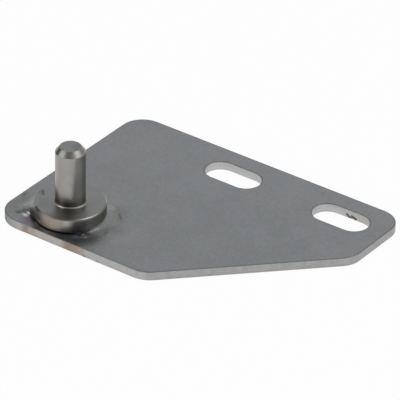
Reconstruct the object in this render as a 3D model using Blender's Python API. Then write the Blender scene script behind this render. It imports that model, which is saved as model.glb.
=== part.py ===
"""Hinge leaf of an appliance door: a slotted steel plate with a shouldered pin welded to it.

Units are metres. The origin is where the pin's axis meets the plate's underside, +X runs along the
slots, +Y towards the plate's back edge, and +Z up along the pin.
"""

from collections import namedtuple
from math import ceil, cos, pi, radians, sin, sqrt, tan

import bmesh
import bpy
from mathutils import Vector

MM = 0.001

# Sheet steel plate, measured from its left and front sides
PLATE_LENGTH = 86.7 * MM
PLATE_WIDTH = 62.5 * MM
PLATE_THICKNESS = 2.5 * MM
FRONT_EDGE_LENGTH = 48.3 * MM
RIGHT_EDGE_RISE = 38.9 * MM
CORNER_RADIUS = 6.5 * MM
PIN_END_CORNER_RADIUS = 7.3 * MM
PLATE_EDGE_BREAK = 0.15 * MM

# Fixing slots, in a row along the back edge
SLOT_LENGTH = 16.5 * MM
SLOT_WIDTH = 8.5 * MM
SLOT_PITCH = 34.4 * MM
SLOT_ROW_FROM_BACK = 9.7 * MM
LAST_SLOT_FROM_RIGHT = 13.7 * MM
SLOT_COUNT = 2

# Turned pin, and where it stands on the plate
PIN_FROM_LEFT = 16.65 * MM
PIN_FROM_FRONT = 11.2 * MM
SHANK_DIAMETER = 8.0 * MM
SHANK_LENGTH = 16.5 * MM
TIP_CHAMFER_DEPTH = 1.2 * MM
TIP_CHAMFER_HEIGHT = 1.5 * MM
TIP_EDGE_RADIUS = 0.15 * MM
ROOT_FILLET_RADIUS = 0.5 * MM
COLLAR_DIAMETER = 18.9 * MM
COLLAR_HEIGHT = 3.8 * MM
COLLAR_CHAMFER = 0.25 * MM
COLLAR_FOOT_RADIUS = 0.25 * MM
SPIGOT_DIAMETER = 8.0 * MM
SPIGOT_CHAMFER = 0.5 * MM

# Weld beads round the collar. Angles run round the pin from +X, and the widest place is a share
# of the way along. The left bead climbs nearly to the collar's rim, and the right one lies flat
LEFT_BEAD_START = radians(161.0)
LEFT_BEAD_END = radians(226.0)
LEFT_BEAD_START_LEG = 2.8 * MM
LEFT_BEAD_WIDEST_LEG = 5.3 * MM
LEFT_BEAD_END_LEG = 1.6 * MM
LEFT_BEAD_WIDEST_AT = 0.6
LEFT_BEAD_HEIGHT = 3.3 * MM
RIGHT_BEAD_START = radians(-48.0)
RIGHT_BEAD_END = radians(76.0)
RIGHT_BEAD_START_LEG = 2.2 * MM
RIGHT_BEAD_WIDEST_LEG = 3.7 * MM
RIGHT_BEAD_END_LEG = 2.8 * MM
RIGHT_BEAD_WIDEST_AT = 0.64
RIGHT_BEAD_HEIGHT = 1.5 * MM
BEAD_ROUND_END = 2.4 * MM
BEAD_FULLNESS = 1.35
RIPPLE_PITCH = 1.0 * MM
RIPPLE_DEPTH = 0.07 * MM

# Clearance between pieces that lie against each other
SEAT_GAP = 0.3 * MM

# How far the plate's cutters reach past its two faces
CUT_OVERSHOOT = 1.0 * MM

# Smoothness of curved shapes
ARC_STEP = radians(6.0)
TURNED_ARC_STEP = radians(22.5)
TURNED_STEPS = 96
HOLE_STEPS = 64
BEAD_STEPS_PER_RIPPLE = 4
BEAD_SECTION_STEPS = 8
BEAD_TIP_SHARE = 0.2
MERGE_DISTANCE = 0.001 * MM
SMOOTH_ANGLE = radians(30.0)
BREAK_ANGLE = radians(60.0)

# Heights of the seats, worked out from the sizes above
COLLAR_BOTTOM = PLATE_THICKNESS + SEAT_GAP
COLLAR_TOP = COLLAR_BOTTOM + COLLAR_HEIGHT
PIN_TOP = COLLAR_TOP + SHANK_LENGTH
PIN_HOLE_DIAMETER = SPIGOT_DIAMETER + 2.0 * SEAT_GAP
BEAD_SEAT = PLATE_THICKNESS + SEAT_GAP
BEAD_INNER_RADIUS = COLLAR_DIAMETER / 2.0 + SEAT_GAP

# A bead's run round the pin, how far it reaches out along the way, and its height on the collar
Bead = namedtuple("Bead", "start end start_leg widest_leg end_leg widest_at height")
LEFT_BEAD = Bead(
    LEFT_BEAD_START, LEFT_BEAD_END, LEFT_BEAD_START_LEG, LEFT_BEAD_WIDEST_LEG,
    LEFT_BEAD_END_LEG, LEFT_BEAD_WIDEST_AT, LEFT_BEAD_HEIGHT,
)
RIGHT_BEAD = Bead(
    RIGHT_BEAD_START, RIGHT_BEAD_END, RIGHT_BEAD_START_LEG, RIGHT_BEAD_WIDEST_LEG,
    RIGHT_BEAD_END_LEG, RIGHT_BEAD_WIDEST_AT, RIGHT_BEAD_HEIGHT,
)


def clear_scene():
    """Remove every object that the new scene came with."""
    for old in list(bpy.data.objects):
        bpy.data.objects.remove(old, do_unlink=True)


def make_material(name, colour, roughness, metallic):
    """Return a Principled material with one colour and finish."""
    made = bpy.data.materials.new(name)
    made.use_nodes = True
    shader = made.node_tree.nodes["Principled BSDF"]
    shader.inputs["Base Color"].default_value = (*colour, 1.0)
    shader.inputs["Roughness"].default_value = roughness
    shader.inputs["Metallic"].default_value = metallic
    return made


def make_object(name, shape, finish, parent=None, location=(0.0, 0.0, 0.0)):
    """Turn a bmesh into a named object with its material, place and parent."""
    mesh = bpy.data.meshes.new(name)
    shape.to_mesh(mesh)
    shape.free()
    if finish is not None:
        mesh.materials.append(finish)
    made = bpy.data.objects.new(name, mesh)
    bpy.context.collection.objects.link(made)
    made.parent = parent
    made.location = location
    return made


def smooth_round_faces(piece):
    """Shade the curved faces smooth and keep the real edges sharp."""
    piece.data.shade_smooth()
    piece.data.set_sharp_from_angle(angle=SMOOTH_ANGLE)


def corner_arc(before, corner, after, radius, step):
    """Return the points of a round corner between two straight runs."""
    to_before = (before - corner).normalized()
    to_after = (after - corner).normalized()
    half_angle = to_before.angle(to_after) / 2.0
    centre = corner + (to_before + to_after).normalized() * (radius / sin(half_angle))
    first = corner + to_before * (radius / tan(half_angle))
    last = corner + to_after * (radius / tan(half_angle))
    sweep = pi - 2.0 * half_angle
    count = max(2, ceil(sweep / step))
    across = (first - centre).normalized()
    along = ((last - centre) - across * (last - centre).dot(across)).normalized()
    turns = [sweep * index / count for index in range(count + 1)]
    return [centre + (across * cos(turn) + along * sin(turn)) * radius for turn in turns]


def rounded_path(corners, step, closed):
    """Return the path through corners given as (x, y, radius), each rounded by its radius."""
    places = [Vector((x, y)) for x, y, _ in corners]
    path = []
    for index, (_, _, radius) in enumerate(corners):
        at_end = not closed and index in (0, len(corners) - 1)
        if radius == 0.0 or at_end:
            path.append(places[index])
            continue
        before = places[index - 1]
        after = places[(index + 1) % len(places)]
        path.extend(corner_arc(before, places[index], after, radius, step))
    return path


def prism(outline, low, high):
    """Return a bmesh solid that fills an outline from one height to another."""
    shape = bmesh.new()
    floor = shape.faces.new([shape.verts.new((x, y, low)) for x, y in outline])
    raised = bmesh.ops.extrude_face_region(shape, geom=[floor])
    roof = [item for item in raised["geom"] if isinstance(item, bmesh.types.BMVert)]
    bmesh.ops.translate(shape, verts=roof, vec=(0.0, 0.0, high - low))
    bmesh.ops.recalc_face_normals(shape, faces=shape.faces)
    return shape


def plate_outline():
    """Return the five-sided outline, a rectangle with its front right corner cut off aslant."""
    corners = [
        (0.0, 0.0, PIN_END_CORNER_RADIUS),
        (FRONT_EDGE_LENGTH, 0.0, PIN_END_CORNER_RADIUS),
        (PLATE_LENGTH, RIGHT_EDGE_RISE, CORNER_RADIUS),
        (PLATE_LENGTH, PLATE_WIDTH, CORNER_RADIUS),
        (0.0, PLATE_WIDTH, CORNER_RADIUS),
    ]
    return rounded_path(corners, ARC_STEP, closed=True)


def obround_outline(length, width):
    """Return a slot outline with two full round ends, centred on zero."""
    x = length / 2.0
    y = width / 2.0
    corners = [(x, -y, y), (x, y, y), (-x, y, y), (-x, -y, y)]
    path = rounded_path(corners, ARC_STEP, closed=True)
    joined = [(point - path[index - 1]).length > MERGE_DISTANCE for index, point in enumerate(path)]
    return [point for point, keep in zip(path, joined) if keep]


def make_cutter(name, shape, plate, x, y):
    """Place a cutter on the plate and take its shape out of the plate."""
    cutter = make_object(name, shape, None, parent=plate, location=(x, y, 0.0))
    cutter.hide_render = True
    cutter.display_type = "WIRE"
    cut = plate.modifiers.new(name, "BOOLEAN")
    cut.operation = "DIFFERENCE"
    cut.solver = "EXACT"
    cut.object = cutter


def make_plate(frame, finish):
    """Make the flat plate with its slots, its pin hole and its broken edges."""
    corner = (-PIN_FROM_LEFT, -PIN_FROM_FRONT, 0.0)
    shape = prism(plate_outline(), 0.0, PLATE_THICKNESS)
    plate = make_object("hinge_plate", shape, finish, parent=frame, location=corner)
    low = -CUT_OVERSHOOT
    high = PLATE_THICKNESS + CUT_OVERSHOOT
    for index in range(SLOT_COUNT):
        slot = prism(obround_outline(SLOT_LENGTH, SLOT_WIDTH), low, high)
        x = PLATE_LENGTH - LAST_SLOT_FROM_RIGHT - index * SLOT_PITCH
        make_cutter(f"slot_cutter_{index + 1}", slot, plate, x, PLATE_WIDTH - SLOT_ROW_FROM_BACK)
    turns = [2.0 * pi * index / HOLE_STEPS for index in range(HOLE_STEPS)]
    radius = PIN_HOLE_DIAMETER / 2.0
    hole = prism([(radius * cos(turn), radius * sin(turn)) for turn in turns], low, high)
    make_cutter("pin_hole_cutter", hole, plate, PIN_FROM_LEFT, PIN_FROM_FRONT)
    edges = plate.modifiers.new("broken_edges", "BEVEL")
    edges.width = PLATE_EDGE_BREAK
    edges.segments = 1
    edges.limit_method = "ANGLE"
    edges.angle_limit = BREAK_ANGLE
    smooth_round_faces(plate)


def pin_profile():
    """Return half of the pin's section, from the tip down its outer side to the spigot's end."""
    shank = SHANK_DIAMETER / 2.0
    collar = COLLAR_DIAMETER / 2.0
    spigot = SPIGOT_DIAMETER / 2.0
    corners = [
        (0.0, PIN_TOP, 0.0),
        (shank - TIP_CHAMFER_DEPTH, PIN_TOP, TIP_EDGE_RADIUS),
        (shank, PIN_TOP - TIP_CHAMFER_HEIGHT, TIP_EDGE_RADIUS),
        (shank, COLLAR_TOP, ROOT_FILLET_RADIUS),
        (collar - COLLAR_CHAMFER, COLLAR_TOP, 0.0),
        (collar, COLLAR_TOP - COLLAR_CHAMFER, 0.0),
        (collar, COLLAR_BOTTOM, COLLAR_FOOT_RADIUS),
        (spigot, COLLAR_BOTTOM, 0.0),
        (spigot, SPIGOT_CHAMFER, 0.0),
        (spigot - SPIGOT_CHAMFER, 0.0, 0.0),
        (0.0, 0.0, 0.0),
    ]
    return rounded_path(corners, TURNED_ARC_STEP, closed=False)


def make_pin(frame, finish):
    """Turn the pin, its collar and its spigot from one profile."""
    shape = bmesh.new()
    places = [shape.verts.new((radius, 0.0, height)) for radius, height in pin_profile()]
    for upper, lower in zip(places, places[1:]):
        shape.edges.new((upper, lower))
    pin = make_object("shoulder_pin", shape, finish, parent=frame)
    turn = pin.modifiers.new("turned", "SCREW")
    turn.axis = "Z"
    turn.angle = 2.0 * pi
    turn.steps = TURNED_STEPS
    turn.render_steps = TURNED_STEPS
    turn.use_merge_vertices = True
    turn.merge_threshold = MERGE_DISTANCE
    turn.use_smooth_shade = True


def bead_section(leg, height):
    """Return a fillet bead's section as (outwards, up) points, from the wall's foot to the toe."""
    section = [(0.0, 0.0)]
    power = 2.0 / BEAD_FULLNESS
    for index in range(BEAD_SECTION_STEPS + 1):
        turn = 0.5 * pi * index / BEAD_SECTION_STEPS
        outwards = leg * max(sin(turn), 0.0) ** power
        up = height * max(cos(turn), 0.0) ** power
        section.append((outwards, up))
    return section


def eased(share):
    """Return a share that starts and ends gently."""
    return share * share * (3.0 - 2.0 * share)


def bead_leg(share, bead):
    """Return how far the bead reaches out at a share of its run, widest in between."""
    if share < bead.widest_at:
        return bead.start_leg + (bead.widest_leg - bead.start_leg) * eased(share / bead.widest_at)
    past = (share - bead.widest_at) / (1.0 - bead.widest_at)
    return bead.widest_leg + (bead.end_leg - bead.widest_leg) * eased(past)


def bead_size(along, length, bead):
    """Return the bead's leg and height at a distance along it, with round ends and ripples."""
    from_end = min(along, length - along)
    closeness = min(1.0, max(0.0, 1.0 - from_end / BEAD_ROUND_END))
    swell = max(BEAD_TIP_SHARE, sqrt(1.0 - closeness ** 2))
    ripple = RIPPLE_DEPTH * 0.5 * (cos(2.0 * pi * along / RIPPLE_PITCH) - 1.0)
    return swell * (bead_leg(along / length, bead) + ripple), swell * (bead.height + ripple)


def make_weld(name, bead, frame, finish):
    """Lay one fillet bead along the collar's foot, as sections swept round the pin."""
    sweep = bead.end - bead.start
    length = sweep * (BEAD_INNER_RADIUS + bead.start_leg / 2.0)
    count = ceil(length / RIPPLE_PITCH * BEAD_STEPS_PER_RIPPLE)
    shape = bmesh.new()
    rings = []
    for index in range(count + 1):
        leg, height = bead_size(length * index / count, length, bead)
        turn = bead.start + sweep * index / count
        ring = []
        for outwards, up in bead_section(leg, height):
            radius = BEAD_INNER_RADIUS + outwards
            ring.append(shape.verts.new((radius * cos(turn), radius * sin(turn), up)))
        rings.append(ring)
    for ring, following in zip(rings, rings[1:]):
        for index in range(len(ring)):
            corners = (ring[index - 1], ring[index], following[index], following[index - 1])
            shape.faces.new(corners)
    shape.faces.new(rings[0])
    shape.faces.new(rings[-1])
    bmesh.ops.recalc_face_normals(shape, faces=shape.faces)
    weld = make_object(name, shape, finish, parent=frame, location=(0.0, 0.0, BEAD_SEAT))
    smooth_round_faces(weld)


def build_hinge():
    """Build the hinge leaf."""
    clear_scene()
    sheet_steel = make_material("sheet_steel", (0.21, 0.21, 0.21), 0.45, 1.0)
    turned_steel = make_material("turned_steel", (0.26, 0.25, 0.24), 0.35, 1.0)
    weld_metal = make_material("weld_metal", (0.22, 0.22, 0.23), 0.40, 1.0)
    frame = bpy.data.objects.new("hinge_frame", None)
    bpy.context.collection.objects.link(frame)
    make_plate(frame, sheet_steel)
    make_pin(frame, turned_steel)
    make_weld("weld_bead_left", LEFT_BEAD, frame, weld_metal)
    make_weld("weld_bead_right", RIGHT_BEAD, frame, weld_metal)


build_hinge()
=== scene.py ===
"""Looks of a welded appliance door hinge leaf: satin sheet steel, a turned pin and two weld beads."""

from collections import namedtuple
from math import cos, radians, sin

import bmesh
import bpy
from mathutils import Matrix, Vector


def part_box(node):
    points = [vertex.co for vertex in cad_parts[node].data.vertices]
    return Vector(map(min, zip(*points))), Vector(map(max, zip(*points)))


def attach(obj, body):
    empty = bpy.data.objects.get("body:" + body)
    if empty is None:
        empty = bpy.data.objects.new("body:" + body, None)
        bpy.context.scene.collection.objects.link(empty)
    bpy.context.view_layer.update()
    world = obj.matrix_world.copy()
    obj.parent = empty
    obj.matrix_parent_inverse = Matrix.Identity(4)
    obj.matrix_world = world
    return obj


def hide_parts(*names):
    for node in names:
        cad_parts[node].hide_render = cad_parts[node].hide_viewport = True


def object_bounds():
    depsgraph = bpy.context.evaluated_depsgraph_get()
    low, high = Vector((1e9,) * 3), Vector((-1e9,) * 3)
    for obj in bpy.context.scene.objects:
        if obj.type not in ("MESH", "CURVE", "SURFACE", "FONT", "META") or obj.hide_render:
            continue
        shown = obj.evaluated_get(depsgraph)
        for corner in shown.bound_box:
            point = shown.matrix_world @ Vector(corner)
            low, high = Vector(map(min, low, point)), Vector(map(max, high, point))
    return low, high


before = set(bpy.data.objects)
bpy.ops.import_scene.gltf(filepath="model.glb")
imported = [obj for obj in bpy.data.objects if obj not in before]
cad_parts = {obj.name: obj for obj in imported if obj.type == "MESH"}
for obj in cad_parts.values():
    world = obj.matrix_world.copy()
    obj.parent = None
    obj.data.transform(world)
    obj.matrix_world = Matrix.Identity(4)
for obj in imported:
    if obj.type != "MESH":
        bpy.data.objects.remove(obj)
cad_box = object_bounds()

MM = 0.001
PER_MM = 1000.0
DEGREES = 57.29578
TURN = 6.283185
BODY = "root"

# Camera, solved from the outline of the plate and the pin in the 400 pixel photograph
PHOTO_SIDE = 400.0
CAMERA_AZIMUTH = radians(35.714)
CAMERA_ELEVATION = radians(31.796)
CAMERA_ROLL = radians(1.026)
CAMERA_DISTANCE = 1.17517
FOCAL_PIXELS = 4531.8
SENSOR_WIDTH = 36.0
ORIGIN_PIXEL = (70.518, 222.453)
CLIP_START = 0.01
CLIP_END = 20.0

# Sizes of the part, read from the frame
PLATE_LOW, PLATE_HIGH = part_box("hinge_plate")
PIN_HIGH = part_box("shoulder_pin")[1]
PLATE_TOP = PLATE_HIGH.z
COLLAR_RADIUS = PIN_HIGH.x
PLATE_TOP_MM = PLATE_TOP * PER_MM
COLLAR_RADIUS_MM = COLLAR_RADIUS * PER_MM
PIN_TOP_MM = PIN_HIGH.z * PER_MM
FRONT_MM = PLATE_LOW.y * PER_MM

# Sizes that no box shows, in millimetres as the part's source has them
SHANK_RADIUS_MM = 4.0
SLOT_ROW_FROM_BACK = 9.7
SLOT_HALF_WIDTH = 4.25
SLOTS_RIGHT = 64.6

# Weld beads in millimetres and radians. The widest and the climb are shares of the way along
Bead = namedtuple("Bead", (
    "start_angle sweep start_leg widest_leg end_leg widest_at start_height height climb overlap lip "
    "fullness slant tail round_start start_curve round_end toe dip dip_reach dip_end lumps seed drops"
))
Drop = namedtuple("Drop", "angle radius height width pit pit_width")
LEFT_BEAD = Bead(
    start_angle=radians(136.0), sweep=radians(98.3),
    start_leg=3.6, widest_leg=5.6, end_leg=5.4, widest_at=0.62,
    start_height=3.6, height=4.25, climb=0.5, overlap=1.4, lip=0.1,
    fullness=0.42, slant=2.85, tail=0.25, round_start=3.0, start_curve=0.5, round_end=0.45,
    toe=0.45, dip=0.0, dip_reach=0.5, dip_end=0.5, lumps=0.035, seed=3.0,
    drops=(
        Drop(radians(217.5), 11.35, 0.32, 1.45, 0.0, 0.5),
        Drop(radians(216.0), 12.7, 0.16, 0.6, 0.0, 0.5),
    ),
)
RIGHT_BEAD = Bead(
    start_angle=radians(-52.0), sweep=radians(128.0),
    start_leg=2.5, widest_leg=4.1, end_leg=3.0, widest_at=0.64,
    start_height=0.75, height=0.85, climb=0.35, overlap=0.4, lip=0.0,
    fullness=0.75, slant=0.0, tail=0.04, round_start=2.4, start_curve=0.5, round_end=2.6,
    toe=0.85, dip=0.6, dip_reach=1.8, dip_end=0.34, lumps=0.06, seed=8.0,
    drops=(
        Drop(radians(-35.4), 11.2, 0.5, 1.1, 0.85, 0.52),
        Drop(radians(-46.0), 10.6, 0.35, 1.1, 0.0, 0.5),
    ),
)
DROPS_PER_BEAD = 2
DROP_MELT = 0.15
RIPPLE_PITCH = 1.15
RIPPLE_DEPTH = 0.018
RIPPLE_LAG = 0.6
SLANT_CURVE = 0.6
START_MARGIN = 0.04
RIPPLE_START = (0.0, 0.5)
TOE_AT_ENDS = 0.6
TOE_WANDER = 0.1
TOE_END = 1.06
REACH_LIMIT = 1.4
UNEVEN_REACH = (0.7, 1.1)
SUNK_SWELL = (0.0, 0.25)
SUNK_REACH = (0.95, 1.1)
LIP_START = 0.3
LIP_MARGIN = 0.01
END_FACE_DEPTH = 0.55
BEAD_SINK = 0.35
BEAD_SUNK = 0.12
BEAD_MARGIN = 0.5
BEAD_CELLS_ALONG = 340
BEAD_CELLS_ACROSS = 64
CELLS_JOINED = 0.0001
FACE_MARK = "steep_face"


class Field:
    """A socket that Python arithmetic works on: each sign adds one Math node."""

    def __init__(self, tree, socket):
        self.tree = tree
        self.socket = socket

    def maths(self, operation, *others):
        return self.tree.node("ShaderNodeMath", {"operation": operation}, (self, *others))[0]

    def flipped(self, operation, other):
        return self.tree.node("ShaderNodeMath", {"operation": operation}, (other, self))[0]

    def __add__(self, other):
        return self.maths("ADD", other)

    __radd__ = __add__

    def __mul__(self, other):
        return self.maths("MULTIPLY", other)

    __rmul__ = __mul__

    def __sub__(self, other):
        return self.maths("SUBTRACT", other)

    def __rsub__(self, other):
        return self.flipped("SUBTRACT", other)

    def __truediv__(self, other):
        return self.maths("DIVIDE", other)

    def __rtruediv__(self, other):
        return self.flipped("DIVIDE", other)

    def __pow__(self, other):
        return self.maths("POWER", other)

    def at_least(self, other):
        return self.maths("MAXIMUM", other)

    def at_most(self, other):
        return self.maths("MINIMUM", other)

    def size(self):
        return self.maths("ABSOLUTE")

    def sine(self):
        return self.maths("SINE")

    def cosine(self):
        return self.maths("COSINE")

    def root(self):
        return self.maths("SQRT")

    def melted(self, other, width):
        """Return the larger of two values, with a soft join of a width between them."""
        return self.maths("SMOOTH_MAX", other, width)

    def ease(self, low, high):
        """Return 0 below low and 1 above high, with a smooth step between them."""
        settings = {"interpolation_type": "SMOOTHSTEP"}
        values = {"Value": self, "From Min": low, "From Max": high}
        return self.tree.node("ShaderNodeMapRange", settings, values)[0]

    def fade(self, low, high):
        """Return 1 below low and 0 above high, with a smooth step between them."""
        return 1.0 - self.ease(low, high)

    def bump(self, centre, width):
        """Return 1 at the centre, easing to 0 at one width from it."""
        return (self - centre).size().fade(0.0, width)

    def within(self, span):
        """Return 1 between the middle pair of a span's four places, easing to 0 at its ends."""
        return self.ease(span.start, span.full) * self.fade(span.fading, span.end)


# A kind of noise, drawn out by its stretch, and how deep and strong a surface's relief is
EVEN = (1.0, 1.0, 1.0)
Noise = namedtuple("Noise", "scale detail roughness stretch", defaults=(EVEN,))
Relief = namedtuple("Relief", "depth strength")

# What makes the beads uneven
LUMPS = Noise(0.45, 1.0, 0.55)
GRIT = Noise(1.6, 2.0, 0.55)

# Sockets by number: those of a Mix node that is set to colours, and outputs of two other nodes
MIX_FACTOR, MIX_FIRST, MIX_SECOND = 0, 6, 7
GENERATED, OBJECT_PLACE = 0, 3
ATTRIBUTE_FACTOR = 2
WHITE = (1.0, 1.0, 1.0)


def set_stops(ramp, stops):
    """Give a colour ramp its stops, each a place and a linear colour."""
    for index, (place, colour) in enumerate(stops):
        stop = ramp.elements[index] if index < len(ramp.elements) else ramp.elements.new(place)
        stop.position = place
        stop.color = (*colour, 1.0)


class Tree:
    """A node tree built from Python. One method adds any node, and fields carry its outputs."""

    def __init__(self, tree):
        self.nodes = tree.nodes
        self.links = tree.links

    def put(self, socket, value):
        """Link a field or each field of a list to a socket, or set the socket's own value."""
        if isinstance(value, list):
            for field in value:
                self.put(socket, field)
        elif isinstance(value, Field):
            self.links.new(value.socket, socket)
        else:
            socket.default_value = value

    def node(self, kind, settings=None, values=()):
        """Add a node with its settings first, then its sockets, and return its shown outputs."""
        added = self.nodes.new(kind)
        for name, setting in (settings or {}).items():
            if name == "stops":
                set_stops(added.color_ramp, setting)
            else:
                setattr(added, name, setting)
        named = values.items() if isinstance(values, dict) else enumerate(values)
        for name, value in named:
            self.put(added.inputs[name], value)
        return [Field(self, socket) for socket in added.outputs if socket.enabled]

    def xyz(self, vector):
        return self.node("ShaderNodeSeparateXYZ", {}, (vector,))

    def vector(self, x, y, z):
        return self.node("ShaderNodeCombineXYZ", {}, (x, y, z))[0]

    def stretched(self, vector, factors):
        return self.node("ShaderNodeVectorMath", {"operation": "MULTIPLY"}, (vector, factors))[0]

    def noise(self, vector, kind):
        """Return three dimensional noise of a kind, between 0 and 1."""
        if kind.stretch != EVEN:
            vector = self.stretched(vector, kind.stretch)
        values = {"Vector": vector, "Scale": kind.scale}
        values.update({"Detail": kind.detail, "Roughness": kind.roughness})
        return self.node("ShaderNodeTexNoise", {"noise_dimensions": "3D"}, values)[0]

    def mix(self, amount, first, second, blend="MIX"):
        """Mix two colours, given as fields or as linear red, green and blue."""
        colours = [value if isinstance(value, Field) else (*value, 1.0) for value in (first, second)]
        settings = {"data_type": "RGBA", "blend_type": blend, "clamp_factor": True}
        values = {MIX_FACTOR: amount, MIX_FIRST: colours[0], MIX_SECOND: colours[1]}
        return self.node("ShaderNodeMix", settings, values)[0]

    def tinted(self, colour, amount, tint):
        """Multiply a colour by an amount of a tint."""
        return self.mix(1.0, colour, self.mix(amount, WHITE, tint), "MULTIPLY")

    def ramp(self, amount, stops):
        """Return a colour that follows stops, each a place and a linear colour."""
        return self.node("ShaderNodeValToRGB", {"stops": stops}, {"Fac": amount})[0]

    def bumped(self, height, relief):
        """Return a normal bent by a height that is given in depths of the relief."""
        values = {"Height": height, "Distance": relief.depth, "Strength": relief.strength}
        return self.node("ShaderNodeBump", {}, values)[0]

    def seen_rays(self):
        """Return 1 for the camera's rays, and 1 for rays that a surface mirrors or lets through."""
        rays = {field.socket.name: field for field in self.node("ShaderNodeLightPath")}
        mirrored = (rays["Is Glossy Ray"] + rays["Is Transmission Ray"]).at_most(1.0)
        return rays["Is Camera Ray"], mirrored


def empty_tree(owner):
    """Switch on the nodes of a material or world, clear them and return its tree."""
    owner.use_nodes = True
    owner.node_tree.nodes.clear()
    return Tree(owner.node_tree)


# Places of marks in millimetres and degrees round the pin. Spots lie on the plan
Spot = namedtuple("Spot", "x y reach")
HeatSpot = namedtuple("HeatSpot", "x y reach heat")
Stroke = namedtuple("Stroke", "x y slant half_length half_width")
Arc = namedtuple("Arc", "radius angle half_angle half_width")
Span = namedtuple("Span", "start full fading end")
Lobe = namedtuple("Lobe", "centre width")
STROKE_CORE = 0.6


class Metal:
    """A material tree for one finish of steel, with places on the part in millimetres."""

    def __init__(self, name):
        self.material = bpy.data.materials.new(name)
        self.tree = empty_tree(self.material)
        metres = self.tree.node("ShaderNodeTexCoord")[OBJECT_PLACE]
        scaled = {"Vector": metres, "Scale": PER_MM}
        self.place = self.tree.node("ShaderNodeVectorMath", {"operation": "SCALE"}, scaled)[0]
        self.x, self.y, self.z = self.tree.xyz(self.place)
        self.radius = (self.x * self.x + self.y * self.y).root()
        self.angle = self.y.maths("ARCTAN2", self.x) * DEGREES

    def finish(self, colour, roughness, normal, metallic=1.0, anisotropic=0.0):
        """Close the tree with one shader and return the material."""
        values = {"Base Color": colour, "Roughness": roughness, "Metallic": metallic, "Normal": normal}
        if anisotropic > 0.0:
            values["Anisotropic"] = anisotropic
        shader = self.tree.node("ShaderNodeBsdfPrincipled", {}, values)[0]
        self.tree.node("ShaderNodeOutputMaterial", {}, {"Surface": shader})
        return self.material

    def noise(self, kind):
        """Return noise of a kind over the part."""
        return self.tree.noise(self.place, kind)

    def near(self, spot, wobble=0.0):
        """Return 1 at a spot of the plan, easing to 0 at its reach, which a wobble makes uneven."""
        across = self.x - spot.x
        along = self.y - spot.y
        distance = (across * across + along * along).root()
        return (distance + wobble).fade(0.0, spot.reach)

    def stroke(self, across, up, line):
        """Return 1 along a short line at a slant in degrees, with soft sides and ends."""
        sideways = across - line.x
        upwards = up - line.y
        run, rise = cos(radians(line.slant)), sin(radians(line.slant))
        along = (sideways * run + upwards * rise).size()
        away = (upwards * run - sideways * rise).size()
        ends = along.fade(STROKE_CORE * line.half_length, line.half_length)
        return ends * away.fade(0.0, line.half_width)

    def arc(self, arc):
        """Return 1 along a short arc round the pin."""
        return self.radius.bump(arc.radius, arc.half_width) * self.angle.bump(arc.angle, arc.half_angle)

    def toe_marks(self):
        """Return 1 along the two short dark lines where the right bead's toe lies on the plate."""
        return (self.stroke(self.x, self.y, TOE_LINE) + self.arc(TOE_ARC)).at_most(1.0)


# Linear colours of the finishes, and of the light and shade painted on them
SHEET_COLOUR = (0.388, 0.403, 0.418)
SHEET_SHADE = (0.338, 0.352, 0.366)
CUT_COLOUR = (0.455, 0.452, 0.447)
CUT_SHADE = (0.365, 0.363, 0.360)
CORNER_SHADE = (0.25, 0.247, 0.24)
PUNCHED_AND_LIT_COLOUR = (0.68, 0.68, 0.68)
RIM_SHADE_AND_TORN_COLOUR = (0.245, 0.252, 0.262)
TURNED_COLOUR = (0.378, 0.370, 0.348)
TURNED_SHADE = (0.318, 0.311, 0.292)
PAINTED_LIGHT_TURNED = (0.53, 0.505, 0.475)
FACED_COLOUR = (0.345, 0.350, 0.352)
BEAD_COLOUR = (0.375, 0.392, 0.385)
BEAD_SHADE = (0.31, 0.322, 0.318)
HOLLOW_SHADE = (0.235, 0.243, 0.248)
POOL_HIGHLIGHT = (0.74, 0.73, 0.69)
PAINTED_HIGHLIGHT = (0.72, 0.71, 0.75)
LIT_COLOUR = (0.35, 0.365, 0.37)
PAINTED_LIGHT_END = (0.405, 0.412, 0.43)
# The soot colours below also stand for painted shade in crevices, at the collar's foot and over
# highlights
SOOT_AND_SHADE = (0.10, 0.095, 0.09)
BLUE_SOOT_AND_SHADE = (0.085, 0.093, 0.10)
DEEP_SOOT_AND_SHADE = (0.022, 0.020, 0.019)

# Tints that multiply a finish, one of them standing for painted shade as well, and the oxide film from
# cold to hottest
PURPLE = (0.86, 0.73, 0.82)
STRAW = (0.90, 0.775, 0.66)
BROWN = (0.66, 0.57, 0.52)
SMOKE_AND_SHADE = (0.50, 0.49, 0.48)
BURNT = (0.74, 0.65, 0.72)
OXIDE_STOPS = (
    (0.0, WHITE),
    (0.20, (0.86, 0.86, 0.83)),
    (0.40, (0.62, 0.61, 0.58)),
    (0.60, (0.46, 0.455, 0.455)),
    (0.80, (0.37, 0.40, 0.41)),
    (1.0, (0.29, 0.315, 0.325)),
)

# The plate's heat spots, each with its reach and how hot it got
PLATE_HEAT = (
    HeatSpot(8.0, -8.2, 7.5, 0.74),
    HeatSpot(2.5, -10.6, 5.0, 0.80),
    HeatSpot(-2.4, -9.9, 3.5, 0.80),
    HeatSpot(-7.0, -9.2, 3.0, 0.12),
    HeatSpot(12.2, -5.6, 5.5, 0.30),
    HeatSpot(13.8, 1.0, 5.2, 0.24),
    HeatSpot(8.6, 9.2, 3.6, 0.20),
    HeatSpot(11.0, 6.6, 4.4, 0.20),
    HeatSpot(-13.0, -3.0, 8.0, 0.16),
)
HEAT_NOISE = Noise(0.55, 4.0, 0.55)
HEAT_WOBBLE = 1.6
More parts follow.
